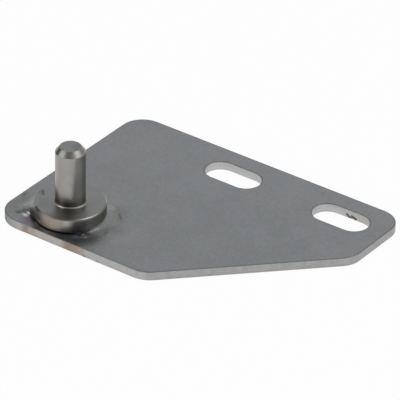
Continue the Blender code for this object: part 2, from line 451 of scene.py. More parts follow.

# Surface of the sheet, the marks on it, and the light and shade painted on it
SHEET_CLOUDS = Noise(0.09, 4.0, 0.6)
SHEET_GRAIN = Noise(1.0, 4.0, 0.6, (0.5, 6.0, 6.0))
SHEET_MOTTLE = Noise(1.1, 4.0, 0.65)
SHEET_SCRATCHES = Noise(1.0, 2.0, 0.55, (0.22, 14.0, 1.0))
SCRATCH_CREST = (0.70, 0.78)
SHEET_CONTRAST = (0.41, 0.59)
SHEET_ROUGHNESS = 0.40
SHEET_RELIEF = Relief(0.012 * MM, 0.6)
DARK_SPOT = Spot(-15.25, 0.55, 1.7)
PIT = Spot(-11.4, -7.3, 1.3)
PURPLE_PATCH = Spot(-7.0, -9.4, 3.0)
PURPLE_END = (-13.0, -4.0)
# Painted shadow with some soot along the collar's foot on the plate, and painted shade where the collar
# stands
CREVICE = Span(-155.0, -146.0, -126.0, -112.0)
CREVICE_REACH = (0.35, 1.45)
SEAT_SHADE = Span(-130.0, -118.0, -58.0, -46.0)
SEAT_REACH = (0.05, 0.55)
TOE_LINE = Stroke(10.92, 6.8, -36.7, 1.7, 0.6)
TOE_ARC = Arc(12.8, -7.0, 6.5, 0.45)
# The plate gets painted light that grows towards its back, from its middle
PLATE_MIDDLE = 20.0
PAINTED_LIGHT_PER_MM = 0.0012


def heat_tint(metal, colour):
    """Return the colour under the oxide film that the welding heat left."""
    wobble = (metal.noise(HEAT_NOISE) - 0.5) * HEAT_WOBBLE
    heat = 0.0
    for spot in PLATE_HEAT:
        heat = metal.near(spot, wobble) * spot.heat + heat
    return metal.tree.mix(1.0, colour, metal.tree.ramp(heat.at_most(1.0), OXIDE_STOPS), "MULTIPLY")


def sheet_steel():
    """Cold rolled sheet: even grey with a fine mottle, a faint grain and soft clouds, painted light
    that grows towards the back, and painted shadow along the collar's foot.
    """
    metal = Metal("satin_sheet")
    tree = metal.tree
    out = metal.radius - COLLAR_RADIUS_MM
    clouds = metal.noise(SHEET_CLOUDS)
    grain = metal.noise(SHEET_GRAIN)
    mottle = metal.noise(SHEET_MOTTLE)
    uneven = mottle - 0.5
    scratch = metal.noise(SHEET_SCRATCHES).ease(*SCRATCH_CREST)
    # The last term is painted light that grows towards the plate's back
    shade = clouds * 0.30 + grain * 0.25 + mottle * 0.45 + (metal.y - PLATE_MIDDLE) * PAINTED_LIGHT_PER_MM
    colour = tree.mix(shade.ease(*SHEET_CONTRAST), SHEET_SHADE, SHEET_COLOUR)
    colour = tree.mix(scratch * 0.12, colour, CUT_COLOUR)
    colour = heat_tint(metal, colour)
    # A darker spot on the plate behind the left bead's start
    dark_spot = metal.near(DARK_SPOT, uneven * 1.4) * 0.45
    colour = tree.mix((dark_spot + metal.toe_marks() * 0.6).at_most(1.0), colour, SOOT_AND_SHADE)
    colour = tree.mix(metal.near(PIT, uneven * 0.8) * 0.8, colour, SOOT_AND_SHADE)
    # Painted shadow with soot in the crevice at the collar's foot, and painted shade where the collar
    # stands
    crevice = metal.angle.within(CREVICE) * out.fade(*CREVICE_REACH)
    seat = metal.angle.within(SEAT_SHADE) * out.fade(*SEAT_REACH)
    colour = tree.mix(crevice.at_least(seat) * 0.85, colour, DEEP_SOOT_AND_SHADE)
    purple = metal.near(PURPLE_PATCH, uneven * 1.2) + metal.x.fade(*PURPLE_END) * 0.08
    colour = tree.tinted(colour, purple.at_most(1.0), PURPLE)
    roughness = SHEET_ROUGHNESS + (grain - 0.5) * 0.10 + (clouds - 0.5) * 0.08
    normal = tree.bumped(grain * 0.5 + mottle * 0.4 + scratch * 0.3, SHEET_RELIEF)
    return metal.finish(colour, roughness, normal)


# Surface of the cut walls, and of the rims that painted shade darkens
CUT_LAYERS = Noise(1.0, 3.0, 0.6, (0.5, 0.5, 4.0))
CUT_DRAG = Noise(1.0, 3.0, 0.6, (4.0, 4.0, 0.5))
CUT_PATCHES = Noise(0.55, 3.0, 0.6)
CUT_CONTRAST = (0.36, 0.64)
CUT_ROUGHNESS = 0.46
CUT_RELIEF = Relief(0.05 * MM, 0.7)
RIM_WEAR = Noise(1.4, 3.0, 0.6)
RIM_WORN = (0.4, 0.7)
RIM_GRAIN = Noise(3.0, 3.0, 0.55)
RIM_ROUGHNESS = 0.45
RIM_RELIEF = Relief(0.03 * MM, 0.5)

# Marks on the cut walls. Heat colours lie along X, and burrs on X and Z of the second slot's back
SLOT_MIDDLE = PLATE_HIGH.y * PER_MM - SLOT_ROW_FROM_BACK
SLOT_BACK = SLOT_MIDDLE + SLOT_HALF_WIDTH
SLOT_WALLS = Span(SLOT_MIDDLE - 4.0, SLOT_MIDDLE - 1.5, SLOT_BACK + 0.3, SLOT_BACK + 0.9)
PAST_SLOTS = (SLOTS_RIGHT + 0.5, SLOTS_RIGHT + 2.0)
FRONT_WALL = (FRONT_MM + 0.4, FRONT_MM + 1.2)
CORNER_X = (-12.5, -7.0)
CORNER_Y = (0.0, 6.0)
TORN_BAND = Lobe(0.45, 0.3)
WARM_FRONT = Span(-7.5, -3.5, 12.5, 15.0)
LEFT_STRAW = Span(-6.6, -5.0, -4.6, -1.8)
RIGHT_STRAW = Span(5.2, 6.8, 10.8, 14.0)
LEFT_BROWN = Lobe(-6.3, 2.0)
RIGHT_BROWN = Span(6.0, 7.4, 8.6, 12.6)
BEIGE_START = (56.0, 57.2)
FIRST_BURR = Stroke(56.0, 0.6, -32.0, 1.2, 0.58)
SECOND_BURR = Stroke(57.6, 0.70, -15.0, 1.2, 0.66)
BURR_CORE = (0.15, 0.75)
RAGGED_GAPS = (0.55, 0.75)
EDGE_NICKS = (13.1, 17.2)
NICK_WIDTH = 0.7
NICK_HEIGHTS = (0.1, 0.75)


def cut_steel():
    """The sheet's cut walls: bright above and torn below, with heat colours under the pin, painted
    shade at the left corner, and painted light that adds to the brighter punched walls.
    """
    metal = Metal("cut_wall")
    tree = metal.tree
    layers = metal.noise(CUT_LAYERS)
    drag = metal.noise(CUT_DRAG)
    patches = metal.noise(CUT_PATCHES)
    shade = layers * 0.35 + drag * 0.25 + patches * 0.4
    colour = tree.mix(shade.ease(*CUT_CONTRAST), CUT_SHADE, CUT_COLOUR)
    # Painted shade on the walls at the plate's left corner
    corner = metal.x.fade(*CORNER_X) * metal.y.fade(*CORNER_Y)
    colour = tree.mix(corner * 0.95, colour, CORNER_SHADE)
    # The torn lower band is darker steel, in the same colour as the shaded rims
    torn = (metal.z + (layers - 0.5) * 0.4).bump(*TORN_BAND)
    colour = tree.mix(torn * 0.22, colour, RIM_SHADE_AND_TORN_COLOUR)

    # The punched slot walls and the front wall are brighter, partly by their finish and partly by
    # painted light where the slots shade them
    front = metal.y.fade(*FRONT_WALL)
    slots = metal.y.within(SLOT_WALLS) * metal.x.fade(*PAST_SLOTS)
    colour = tree.mix((slots * 0.5 + front * 0.2).at_most(1.0), colour, PUNCHED_AND_LIT_COLOUR)

    at = metal.x + (patches - 0.5) * 2.5
    straw = at.within(WARM_FRONT) * 0.3 + at.within(LEFT_STRAW) + at.within(RIGHT_STRAW)
    brown = at.bump(*LEFT_BROWN) * 0.95 + at.within(RIGHT_BROWN) * 0.6
    colour = tree.tinted(colour, straw.at_most(1.0) * front, STRAW)
    colour = tree.tinted(colour, (brown * front).at_most(1.0), BROWN)
    colour = tree.tinted(colour, slots * metal.x.ease(*BEIGE_START) * 0.35, STRAW)

    burrs = metal.stroke(metal.x, metal.z, FIRST_BURR)
    burrs = burrs.at_least(metal.stroke(metal.x, metal.z, SECOND_BURR))
    ragged = (patches + drag * 0.6).ease(*RAGGED_GAPS) * 0.15 + 0.85
    colour = tree.mix(burrs.ease(*BURR_CORE) * slots * ragged, colour, SOOT_AND_SHADE)
    nicks = 0.0
    for nick in EDGE_NICKS:
        nicks = metal.x.bump(nick, NICK_WIDTH) * metal.z.fade(*NICK_HEIGHTS) + nicks
    colour = tree.mix(nicks * front * 0.9, colour, SOOT_AND_SHADE)
    normal = tree.bumped(layers * 0.4 + drag * 0.3 + patches * 0.3 + burrs * slots * 2.0, CUT_RELIEF)
    return metal.finish(colour, CUT_ROUGHNESS + (layers - 0.5) * 0.16, normal)


def shaded_rim_steel():
    """The narrow rims between the faces and the cut walls, darkened with painted shade along the edges.
    """
    metal = Metal("rolled_rim")
    tree = metal.tree
    worn = metal.noise(RIM_WEAR).ease(*RIM_WORN)
    # The rims' colour is painted shade along every edge, lighter where worn
    colour = tree.mix(worn * 0.4, RIM_SHADE_AND_TORN_COLOUR, SHEET_SHADE)
    normal = tree.bumped(metal.noise(RIM_GRAIN), RIM_RELIEF)
    return metal.finish(heat_tint(metal, colour), RIM_ROUGHNESS, normal)


# Surface of the turned pin
TURNED_RINGS = Noise(9.0, 4.0, 0.7)
TURNED_CLOUDS = Noise(0.35, 3.0, 0.55)
TURNED_CONTRAST = (0.35, 0.65)
TURNED_ROUGHNESS = 0.30
TURNED_RELIEF = Relief(0.010 * MM, 0.5)
TURNED_SHEEN = 0.35

# Marks and painted shade on the pin's shank, over the collar's top or below the pin's top
SHANK_SIDE = (0.02, 0.12)
SHANK_START = (0.3, 0.6)
FOOT_RISE = (0.6, 4.4)
WARM_BAND = Lobe(-85.0, 14.0)
STRAW_FOOT = Lobe(-100.0, 40.0)
BLUSH = Lobe(-98.0, 10.0)
BELOW_BAND = (2.0, 6.0)
FOOT_SOOT_AND_SHADE = (-62.0, -14.0)
FOOT_SOOT_AND_SHADE_RISE = (1.1, 2.1)
LEFT_FOOT_SOOT_AND_SHADE = (-84.0, -66.0)
LEFT_FOOT_SOOT_AND_SHADE_RISE = (1.6, 3.8)
SHADED_SIDE = Span(-42.0, -12.0, 60.0, 90.0)
SHADED_FRONT = Span(-52.0, -40.0, 0.0, 24.0)
SHADED_FRONT_BELOW = (4.6, 8.1)
FILLET_SHADE_ANGLES = Span(-86.0, -70.0, -60.0, 10.0)
FILLET_WIDTH = Span(0.0, 0.1, 0.5, 0.7)
FILLET_START = (-0.1, 0.1)
TIP_CHAMFER = Span(0.03, 0.1, 1.4, 1.7)
TIP_SHADES = ((Lobe(-122.0, 20.0), 1.0), (Lobe(-92.0, 30.0), 0.7), (Lobe(-46.0, 18.0), 0.6))

# Where the pin's faces and the collar's wall begin, from the pin's top and the collar's radius
TOP_FACE = (0.05, 0.2)
COLLAR_FACE = Lobe(0.0, 0.1)
COLLAR_FACE_START = (0.4, 0.8)
WALL_START = (-0.5, -0.2)

# Marks, painted light, painted shade and painted highlights on the collar. Heights are from its top,
# but those of the painted light and the seat's painted shade from the plate
SHADE_IN_FRONT = Spot(3.4, -8.2, 6.0)
SHADE_AT_LEFT = Spot(-4.6, -5.4, 4.5)
LAP_GLINT = Spot(-8.0, -2.9, 1.9)
LILAC_PATCH = Spot(5.1, 2.9, 3.6)
RIM_NICK = Stroke(-8.0, -1.25, -46.0, 1.4, 0.55)
BURNT_WALL = Span(-165.0, -155.0, -117.0, -103.0)
SMOKED_SHADED_WALL = Span(-60.0, -44.0, 20.0, 50.0)
SMOKED_SHADED_UP_TO = (-1.0, -0.3)
SCORCHED_WALL = Lobe(-40.0, 28.0)
SCORCHED_UP_TO = (-3.2, -1.2)
CHAMFER = Lobe(-0.15, 0.3)
SHADED_CHAMFER = (-50.0, -30.0)
SHADED_END = Span(-16.0, 6.0, 20.0, 32.0)
SHADED_LEFT_CHAMFER = (-116.0, -102.0)
SHADED_EDGE_FROM = (-0.1, 0.0)
SHADED_EDGE_WIDTH = (-1.05, -0.15)
SIDE_UP_TO = (-0.6, -0.3)
PAINTED_LIGHT_WALL = (-80.0, -58.0)
PAINTED_LIGHT_UP_TO = (0.7, 1.9)
PAINTED_LIGHT_STRIP = Lobe(-57.0, 12.0)
LIGHT_STRIP_FROM = (0.7, 2.5)
CHAMFER_HIGHLIGHT = Lobe(-26.0, 13.0)
FAR_CHAMFER_HIGHLIGHT = Span(28.0, 40.0, 56.0, 70.0)
SEAT_LINE = (-58.0, -46.0)
SEAT_UP_TO = (0.15, 0.6)
STRAW_WALL = Lobe(-92.0, 44.0)


def tint_shank(metal, colour):
    """Return the colour with the shank's warm band, heat colour and painted shade at its foot, and
    painted shade on its side, its tip chamfer and its fillet.
    """
    tree = metal.tree
    over = metal.z - COLLAR_TOP_MM
    under = PIN_TOP_MM - metal.z
    wide = metal.radius - SHANK_RADIUS_MM
    shank = wide.fade(*SHANK_SIDE) * over.ease(*SHANK_START)
    foot = over.fade(*FOOT_RISE) * shank
    band = metal.angle.bump(*WARM_BAND) * under.ease(*BELOW_BAND) * shank
    colour = tree.tinted(colour, band * 0.25 + foot * metal.angle.bump(*STRAW_FOOT) * 0.5, STRAW)
    # Heat colour and painted shade over the shank's foot
    colour = tree.tinted(colour, foot, SMOKE_AND_SHADE)
    # Soot and painted shade low on the shank's foot, mostly at the front
    deep = over.fade(*FOOT_SOOT_AND_SHADE_RISE) * metal.angle.fade(*FOOT_SOOT_AND_SHADE) * 0.86
    deep = deep + over.fade(*LEFT_FOOT_SOOT_AND_SHADE_RISE) * metal.angle.fade(*LEFT_FOOT_SOOT_AND_SHADE) * 0.3
    colour = tree.mix(deep.at_most(0.9) * shank, colour, SOOT_AND_SHADE)
    blush = metal.angle.bump(*BLUSH) * under.ease(*BELOW_BAND) * shank
    colour = tree.tinted(colour, blush * 0.3, STRAW)
    # Painted shade down the shank's right side and front
    shaded_front = metal.angle.within(SHADED_FRONT) * under.ease(*SHADED_FRONT_BELOW)
    colour = tree.tinted(colour, (metal.angle.within(SHADED_SIDE) + shaded_front) * shank * 0.3, SMOKE_AND_SHADE)
    # Painted shade on the tip chamfer that dims its highlights
    shades = 0.0
    for lobe, strength in TIP_SHADES:
        shades = metal.angle.bump(*lobe) * strength + shades
    colour = tree.tinted(colour, (under.within(TIP_CHAMFER) * shades).at_most(1.0), SMOKE_AND_SHADE)
    # Painted shade that dims the fillet's highlight at the front
    fillet = wide.within(FILLET_WIDTH) * over.ease(*FILLET_START)
    return tree.tinted(colour, fillet * metal.angle.within(FILLET_SHADE_ANGLES), SMOKE_AND_SHADE)


def tint_wall(metal, colour, wall, clouds):
    """Return the colour with the heat tints of the collar's wall, and the painted light, painted shade
    and painted highlights on its wall and chamfer.
    """
    tree = metal.tree
    angle = metal.angle
    over = metal.z - COLLAR_TOP_MM
    up = metal.z - PLATE_TOP_MM
    wavy = over + (clouds - 0.5) * 0.8
    colour = tree.tinted(colour, angle.within(BURNT_WALL) * wall, BURNT)
    # Heat colour and painted shade on the collar's wall at the front right
    smoked_and_shaded = angle.within(SMOKED_SHADED_WALL) * wall * wavy.fade(*SMOKED_SHADED_UP_TO)
    colour = tree.tinted(colour, smoked_and_shaded * 0.95, SMOKE_AND_SHADE)
    scorched = angle.bump(*SCORCHED_WALL) * wall * wavy.fade(*SCORCHED_UP_TO)
    colour = tree.mix(scorched * 0.75, colour, BLUE_SOOT_AND_SHADE)
    chamfer = over.bump(*CHAMFER) * wall
    shaded = chamfer * (angle.fade(*SHADED_CHAMFER) + angle.within(SHADED_END))
    colour = tree.tinted(colour, shaded * 0.8, SMOKE_AND_SHADE)
    # Painted shade on the left part of the chamfer and the top's edge, dimming their highlight
    edge = over.ease(*SHADED_EDGE_FROM) * (metal.radius - COLLAR_RADIUS_MM).ease(*SHADED_EDGE_WIDTH) * 0.3
    colour = tree.mix((chamfer * 0.85 + edge).at_most(1.0) * angle.fade(*SHADED_LEFT_CHAMFER), colour, SOOT_AND_SHADE)
    # Painted light on the lower wall at the left front and in a strip
    side = wall * over.fade(*SIDE_UP_TO)
    painted_light = side * up.fade(*PAINTED_LIGHT_UP_TO) * angle.fade(*PAINTED_LIGHT_WALL)
    painted_light = painted_light + side * angle.bump(*PAINTED_LIGHT_STRIP) * up.ease(*LIGHT_STRIP_FROM) * 0.6
    colour = tree.mix(painted_light.at_most(1.0), colour, PAINTED_LIGHT_TURNED)
    # Painted highlights on the chamfer
    chamfer_highlight = angle.bump(*CHAMFER_HIGHLIGHT) * 0.3 + angle.within(FAR_CHAMFER_HIGHLIGHT) * 0.8
    colour = tree.mix(chamfer * chamfer_highlight, colour, PAINTED_HIGHLIGHT)
    # Painted shade along the collar's foot
    seat = wall * up.fade(*SEAT_UP_TO) * angle.fade(*SEAT_LINE)
    colour = tree.mix(seat * 0.85, colour, DEEP_SOOT_AND_SHADE)
    return tree.tinted(colour, angle.bump(*STRAW_WALL) * wall * 0.8, STRAW)


def turned_steel():
    """The lathe turned pin: fine rings round its axis, warm sides, darkened by heat at the shank's
    foot, and painted light, shade and highlights on the shank and collar.
    """
    metal = Metal("turned_pin")
    tree = metal.tree
    rings = tree.noise(tree.vector(metal.radius, 0.0, metal.z), TURNED_RINGS)
    clouds = metal.noise(TURNED_CLOUDS)
    collar_face = (metal.radius - SHANK_RADIUS_MM).ease(*COLLAR_FACE_START)
    collar_face = collar_face * (metal.z - COLLAR_TOP_MM).bump(*COLLAR_FACE)
    faces = ((PIN_TOP_MM - metal.z).fade(*TOP_FACE) + collar_face).at_most(1.0)
    wall = (metal.radius - COLLAR_RADIUS_MM).ease(*WALL_START)
    colour = tree.mix((rings * 0.5 + clouds * 0.5).ease(*TURNED_CONTRAST), TURNED_SHADE, TURNED_COLOUR)
    colour = tree.mix(faces, colour, FACED_COLOUR)
    colour = tint_shank(metal, colour)
    # Painted shade on the collar's top in front of the shank and to its left
    collar_top_shade = metal.near(SHADE_IN_FRONT).at_least(metal.near(SHADE_AT_LEFT) * 0.25)
    colour = tree.tinted(colour, collar_top_shade * faces, SMOKE_AND_SHADE)
    colour = tint_wall(metal, colour, wall, clouds)
    colour = tree.mix(metal.near(LAP_GLINT) * faces * 0.8, colour, LIT_COLOUR)
    colour = tree.mix(metal.stroke(metal.x, metal.y, RIM_NICK) * faces * 0.75, colour, SOOT_AND_SHADE)
    colour = tree.tinted(colour, metal.near(LILAC_PATCH) * faces * 0.2, PURPLE)
    roughness = TURNED_ROUGHNESS + (rings - 0.5) * 0.10 + faces * 0.08 + wall * 0.08
    normal = tree.bumped(rings, TURNED_RELIEF)
    return metal.finish(colour, roughness, normal, anisotropic=TURNED_SHEEN)


# Surface of the weld beads
WELD_CLOUDS = Noise(0.9, 4.0, 0.6)
WELD_GRAIN = Noise(5.0, 3.0, 0.6)
WELD_CONTRAST = (0.38, 0.62)
WELD_ROUGHNESS = 0.34
WELD_RELIEF = Relief(0.05 * MM, 0.6)

# How soft the edge of a spot is on the beads
SOFT_EDGE = (0.0, 0.8)
FIRM_EDGE = (0.0, 0.3)
POOL_EDGE = (0.0, 0.35)
TAIL_EDGE = (0.0, 0.4)

# Marks, painted shade, painted light and painted highlights on the left bead, and then on the right
# one, out from the collar and up from the plate
HOLLOW = Spot(-11.5, -1.3, 4.6)
LIT_SHOULDER = Spot(-10.5, -5.5, 3.0)
POOL = Spot(-8.98, -7.08, 1.3)
POOL_TAIL = Spot(-10.1, -7.4, 0.9)
POOL_UP_TO = (0.45, 0.65)
FACE_SIDE = (-3.0, -1.0)
DEEP_OUT_TO = (0.75, 1.45)
DEEP_UP_TO = (1.3, 3.7)
NICK_FROM = (3.0, 3.7)
BEAD_START = Spot(7.4, -8.2, 4.4)
LIGHT_END_SPOT = Spot(6.3, 8.2, 2.8)
PORE = Spot(9.13, -6.49, 1.0)
PORE_FLOOR = Spot(9.30, -6.73, 1.0)
CREST_START = (-28.0, -12.0)
CREST_OUT_TO = (1.25, 2.75)
WALL_SHADE = Span(-44.0, -32.0, 4.0, 30.0)
WALL_SHADE_OUT_TO = (0.05, 0.65)
FLANK = Lobe(-10.0, 32.0)
FLANK_OUT = Lobe(2.45, 1.6)
RIDGE_HIGHLIGHT = Arc(10.4, -18.0, 15.0, 0.6)


def weld_steel():
    """Weld metal: frozen ripples, sooty where a bead starts, a smooth pool at the left with a painted
    highlight, and painted shade, light and highlights elsewhere.
    """
    metal = Metal("weld_bead")
    tree = metal.tree
    out = metal.radius - COLLAR_RADIUS_MM
    up = metal.z - PLATE_TOP_MM
    clouds = metal.noise(WELD_CLOUDS)
    fine = metal.noise(WELD_GRAIN)
    cloudy = clouds - 0.5
    grainy = (fine - 0.5) * 0.3
    colour = tree.mix((clouds * 0.7 + fine * 0.3).ease(*WELD_CONTRAST), BEAD_SHADE, BEAD_COLOUR)
    crest = out.fade(*CREST_OUT_TO) * metal.angle.ease(*CREST_START)
    colour = tree.mix(crest, heat_tint(metal, colour), colour)

    start = metal.near(BEAD_START, cloudy * 2.0) * (1.0 - crest)
    colour = tree.mix(start * 0.34, colour, BLUE_SOOT_AND_SHADE)
    # Painted shade in the crevice where the right bead meets the collar
    wall_shade = out.fade(*WALL_SHADE_OUT_TO) * metal.angle.within(WALL_SHADE)
    colour = tree.mix(wall_shade * 0.6, colour, BLUE_SOOT_AND_SHADE)
    # Painted shade on the right bead's outer flank
    colour = tree.tinted(colour, out.bump(*FLANK_OUT) * metal.angle.bump(*FLANK) * 0.5, SMOKE_AND_SHADE)
    # Painted light at the right bead's end
    colour = tree.mix(metal.near(LIGHT_END_SPOT).ease(*SOFT_EDGE), colour, PAINTED_LIGHT_END)
    colour = tree.mix(metal.toe_marks() * 0.6, colour, SOOT_AND_SHADE)
    # Painted highlights round the pore's rim and along the right bead's ridge by the collar
    pore_highlight = metal.near(PORE).ease(*FIRM_EDGE) * (1.0 - metal.near(PORE_FLOOR).ease(*FIRM_EDGE))
    painted_highlights = metal.arc(RIDGE_HIGHLIGHT).ease(*SOFT_EDGE).at_least(pore_highlight * 0.8)
    colour = tree.mix(painted_highlights, colour, PAINTED_HIGHLIGHT)

    marked = {"attribute_type": "GEOMETRY", "attribute_name": FACE_MARK}
    face = tree.node("ShaderNodeAttribute", marked)[ATTRIBUTE_FACTOR] * metal.x.fade(*FACE_SIDE)
    # Painted shadow in the crevice at the foot of the left bead's end face
    deep = face * out.fade(*DEEP_OUT_TO) * up.fade(*DEEP_UP_TO)
    # Painted shade over the back of the left bead near the collar
    colour = tree.mix(metal.near(HOLLOW, cloudy * 1.5).ease(*SOFT_EDGE), colour, HOLLOW_SHADE)
    pit = metal.near(PIT, cloudy * 0.8) * 0.8
    # Soot and painted shade on the steep end face, and the dark pit
    colour = tree.mix((face * 0.36 + pit).at_most(1.0), colour, SOOT_AND_SHADE)
    colour = tree.mix(deep * 0.9, colour, DEEP_SOOT_AND_SHADE)
    colour = tree.mix(metal.near(LIT_SHOULDER).ease(*SOFT_EDGE) * (1.0 - face), colour, LIT_COLOUR)
    nick = metal.stroke(metal.x, metal.y, RIM_NICK) * up.ease(*NICK_FROM)
    colour = tree.mix(nick * 0.75, colour, SOOT_AND_SHADE)
    # The smooth pool of the left drop, its brightness partly a painted highlight
    tail = metal.near(POOL_TAIL, grainy).ease(*TAIL_EDGE) * 0.6
    pool = metal.near(POOL, grainy).ease(*POOL_EDGE).at_least(tail) * up.fade(*POOL_UP_TO)
    colour = tree.mix(pool, colour, POOL_HIGHLIGHT)
    roughness = WELD_ROUGHNESS + cloudy * 0.2 + start * 0.15 - pool * 0.12 + face * 0.15 + deep * 0.3
    normal = tree.bumped(clouds * 0.5 + fine * 0.5, WELD_RELIEF)
    return metal.finish(colour, roughness, normal, metallic=1.0 - deep * 0.9)


def new_object(name, data):
    """Add an object to the scene and return it."""
    added = bpy.data.objects.new(name, data)
    bpy.context.scene.collection.objects.link(added)
    return added


def merged_copy(node, name):
    """Return a new object with a CAD node's shape, its corners joined and its flat faces whole."""
    shape = bmesh.new()
    shape.from_mesh(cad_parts[node].data)
    bmesh.ops.remove_doubles(shape, verts=shape.verts, dist=CORNERS_JOINED)
    bmesh.ops.dissolve_limit(shape, angle_limit=FLAT_WITHIN, verts=shape.verts, edges=shape.edges)
    mesh = bpy.data.meshes.new(name)
    shape.to_mesh(mesh)
    shape.free()
    return new_object(name, mesh)


def apply_modifiers(piece):
    """Turn what the modifiers make into the object's own mesh and take them off."""
    evaluated = piece.evaluated_get(bpy.context.evaluated_depsgraph_get())
    made = bpy.data.meshes.new_from_object(evaluated)
    piece.modifiers.clear()
    piece.data = made


def round_shading(piece, angle):
    """Shade curved faces smooth, keep corners over the angle sharp, and weight by face size."""
    piece.data.shade_smooth()
    piece.data.set_sharp_from_angle(angle=angle)
    weighted = piece.modifiers.new("face_weights", "WEIGHTED_NORMAL")
    weighted.keep_sharp = True
    apply_modifiers(piece)


def ring_top(node, radius):
    """Return the highest point of a node that lies farther than a radius from the pin's axis."""
    points = [vertex.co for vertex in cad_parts[node].data.vertices]
    return max(point.z for point in points if point.xy.length > radius)


# Material slots of the plate, and the slopes that tell its faces from its walls and rims
SHEET, CUT, RIM = range(3)
FLAT_SLOPE = 0.99
WALL_SLOPE = 0.3
RIM_WIDTH = 0.22 * MM
PLATE_CORNERS = radians(50.0)
PIN_CORNERS = radians(30.0)

# How near corners are joined, how flat faces are made one, and the radius past which is only collar
CORNERS_JOINED = 0.0005 * MM
FLAT_WITHIN = radians(0.3)
COLLAR_LINE = 0.7 * COLLAR_RADIUS
COLLAR_FOOT = 0.3 * MM
SEAT_CLEARANCE = 0.01 * MM
COLLAR_TOP_MM = ring_top("shoulder_pin", COLLAR_LINE) * PER_MM


def settle(piece, node):
    """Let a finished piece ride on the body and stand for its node."""
    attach(piece, BODY)
    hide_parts(node)


def roll_rims(piece, width):
    """Draw a narrow band of faces inside the outline of both flat sides and mark it as a rim."""
    shape = bmesh.new()
    shape.from_mesh(piece.data)
    for side in (1.0, -1.0):
        flat = [face for face in shape.faces if face.normal.z * side > FLAT_SLOPE]
        bmesh.ops.inset_region(shape, faces=flat, thickness=width, use_even_offset=True)
        for face in shape.faces:
            if face.normal.z * side > FLAT_SLOPE:
                face.material_index = RIM
        for face in flat:
            face.material_index = SHEET
    shape.to_mesh(piece.data)
    shape.free()


def dress_plate():
    """Dress the plate: satin faces, bright cut walls and narrow rims darkened by painted shade."""
    plate = merged_copy("hinge_plate", "slotted_plate")
    for finish in (sheet_steel(), cut_steel(), shaded_rim_steel()):
        plate.data.materials.append(finish)
    for face in plate.data.polygons:
        face.material_index = CUT if abs(face.normal.z) < WALL_SLOPE else RIM
    roll_rims(plate, RIM_WIDTH)
    round_shading(plate, PLATE_CORNERS)
    settle(plate, "hinge_plate")


def seat_collar(piece):
    """Let the collar's lower side stand on the plate, where the solids keep a gap for the weld."""
    collar = [vertex for vertex in piece.data.vertices if vertex.co.xy.length > COLLAR_LINE]
    low = min(vertex.co.z for vertex in collar)
    for vertex in collar:
        if vertex.co.z < low + COLLAR_FOOT:
            vertex.co.z -= low - PLATE_TOP - SEAT_CLEARANCE


def dress_pin():
    """Dress the turned pin and stand its collar on the plate."""
    pin = merged_copy("shoulder_pin", "turned_pivot_pin")
    seat_collar(pin)
    pin.data.materials.append(turned_steel())
    round_shading(pin, PIN_CORNERS)
    settle(pin, "shoulder_pin")


def socket_names(sizes, before=""):
    """Return the numbers of a bead or drop, each under its name as a socket shows it."""
    numbers = {name: value for name, value in sizes._asdict().items() if name != "drops"}
    return {before + name.replace("_", " ").title(): value for name, value in numbers.items()}


def bead_inputs(bead):
    """Return the named sizes of a bead, of its drops and of what it lies on."""
    sizes = socket_names(bead)
    sizes["Wall Radius"] = COLLAR_RADIUS_MM
    sizes["Plate Top"] = PLATE_TOP_MM
    sizes["Ripple Pitch"] = RIPPLE_PITCH
    sizes["Ripple Depth"] = RIPPLE_DEPTH
    for number, drop in enumerate(bead.drops, 1):
        sizes.update(socket_names(drop, f"Drop {number} "))
    return sizes


def closed_sheet(tree):
    """Return a thin closed block of cells, one unit square and one high, with its sheet as floor."""
    cells = {"Size X": 1.0, "Size Y": 1.0}
    cells.update({"Vertices X": BEAD_CELLS_ACROSS, "Vertices Y": BEAD_CELLS_ALONG})
    sheet = tree.node("GeometryNodeMeshGrid", {}, cells)[0]
    lift = {"Mesh": sheet, "Offset": (0.0, 0.0, 1.0), "Offset Scale": 1.0, "Individual": False}
    raised = tree.node("GeometryNodeExtrudeMesh", {"mode": "FACES"}, lift)[0]
    under = tree.node("GeometryNodeFlipFaces", {}, {"Mesh": sheet})[0]
    both = tree.node("GeometryNodeJoinGeometry", {}, ([raised, under],))[0]
    closed = {"Geometry": both, "Distance": CELLS_JOINED}
    return tree.node("GeometryNodeMergeByDistance", {}, closed)[0]


def bead_leg(size, along):
    """Return how far the bead's toe lies from the collar at a share of the way along."""
    to_widest = along.ease(0.0, size["Widest At"])
    past_widest = along.ease(size["Widest At"], 1.0)
    leg = size["Start Leg"] + (size["Widest Leg"] - size["Start Leg"]) * to_widest
    return leg + (size["End Leg"] - size["Widest Leg"]) * past_widest


def add_drops(size, angle, radius, crown):
    """Return the bead's height with the drops that froze on it and the pit of each."""
    for number in range(1, DROPS_PER_BEAD + 1):
        drop = f"Drop {number} "
        aside = (angle - size[drop + "Angle"]) * size[drop + "Radius"]
        inwards = radius - size[drop + "Radius"]
        away = (aside * aside + inwards * inwards).root()
        apart = away / size[drop + "Width"]
        crown = crown.melted(size[drop + "Height"] * (1.0 - apart * apart), DROP_MELT)
        crown = crown - away.fade(0.0, size[drop + "Pit Width"]) * size[drop + "Pit"]
    return crown


